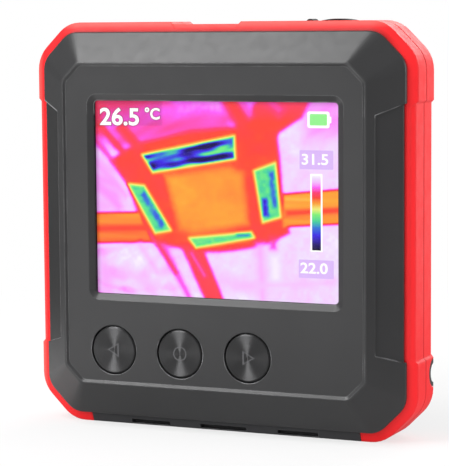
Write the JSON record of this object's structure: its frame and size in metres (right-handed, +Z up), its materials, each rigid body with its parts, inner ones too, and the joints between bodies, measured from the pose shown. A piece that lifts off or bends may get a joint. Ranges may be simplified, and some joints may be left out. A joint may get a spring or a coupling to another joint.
{
  "type": "thermal imaging camera",
  "caption": "Square pocket thermal imager: faceted dark front with recessed colour display and round push buttons, red corner bumper, rear infrared lens, charging port under a rubber flap.",
  "frame": {"origin": "centre of the bounding box's underside, on the plane of the chin's flat underside", "axes": "+Z up, +Y from the display to the infrared lens, +X to the right when facing the display"},
  "size_m": [0.0896, 0.0226, 0.0899],
  "materials": {
    "front_plastic": "fine satin texture, dark grey",
    "rear_plastic": "fine spark texture, dark grey",
    "red_rubber": "satin red moulded rubber",
    "clear_window": "clear hard-coated window",
    "black_foam": "matt black foam",
    "display_panel": "lit colour display",
    "backlight_metal": "bright pressed sheet",
    "black_plastic": "matt black",
    "cable_film": "amber film",
    "ivory_plastic": "ivory connector plastic",
    "button_plastic": "dark grey with turned rings",
    "plunger_plastic": "pale nylon",
    "board_green": "solder mask",
    "screw_steel": "plated",
    "chip_black": "moulded package",
    "ceramic_grey": "ceramic",
    "silicon_window": "coated silicon",
    "germanium": "polished, coated, dark violet sheen",
    "black_metal": "black anodised",
    "black_rubber": "matt black",
    "bezel_metal": "satin black anodised, turned",
    "battery_foil": "laminate foil",
    "white_foam": "white foam tape",
    "wire_red": "silicone sleeve",
    "black_steel": "black zinc",
    "insert_brass": "knurled"
  },
  "bodies": {
    "case": {"front_cover": "front_plastic", "display_window": "clear_window", "window_gasket": "black_foam", "lcd_panel": "display_panel", "lcd_backlight": "backlight_metal", "lcd_carrier": "black_plastic", "lcd_flex": "cable_film", "flex_connector": "ivory_plastic", "tact_switches": "black_plastic", "main_board": "board_green", "board_screws": "screw_steel", "board_chips": "chip_black", "board_link": "ivory_plastic", "sensor_board": "board_green", "sensor_screws": "screw_steel", "infrared_detector": "ceramic_grey", "detector_window": "silicon_window", "lens_holder": "black_plastic", "germanium_lens": "germanium", "lens_ring": "black_metal", "lens_seal": "black_rubber", "lens_bezel": "bezel_metal", "battery": "battery_foil", "battery_pad": "white_foam", "battery_wires": "wire_red", "battery_plug": "ivory_plastic", "usb_shell": "screw_steel", "usb_tongue": "black_plastic", "rear_cover": "rear_plastic", "side_bumper": "red_rubber", "case_seal": "black_rubber", "case_screws": "black_steel", "screw_inserts": "insert_brass"},
    "left_button": {"button_left": "button_plastic", "plunger_left": "plunger_plastic"},
    "ok_button": {"button_ok": "button_plastic", "plunger_ok": "plunger_plastic"},
    "right_button": {"button_right": "button_plastic", "plunger_right": "plunger_plastic"},
    "usb_flap": {"usb_cover": "black_rubber"}
  },
  "joints": [
    {"name": "left_press", "type": "slide", "parent": "case", "child": "left_button", "axis": [0, 1, 0], "range_m": [0, 0.0005], "stiffness_N_per_m": 2000},
    {"name": "ok_press", "type": "slide", "parent": "case", "child": "ok_button", "axis": [0, 1, 0], "range_m": [0, 0.0005], "stiffness_N_per_m": 2000},
    {"name": "right_press", "type": "slide", "parent": "case", "child": "right_button", "axis": [0, 1, 0], "range_m": [0, 0.0005], "stiffness_N_per_m": 2000},
    {"name": "usb_flap_hinge", "type": "hinge", "parent": "case", "child": "usb_flap", "pos_m": [0.01903, 0.00115, 0.089], "axis": [0, -1, 0], "range_deg": [0, 110]}
  ]
}
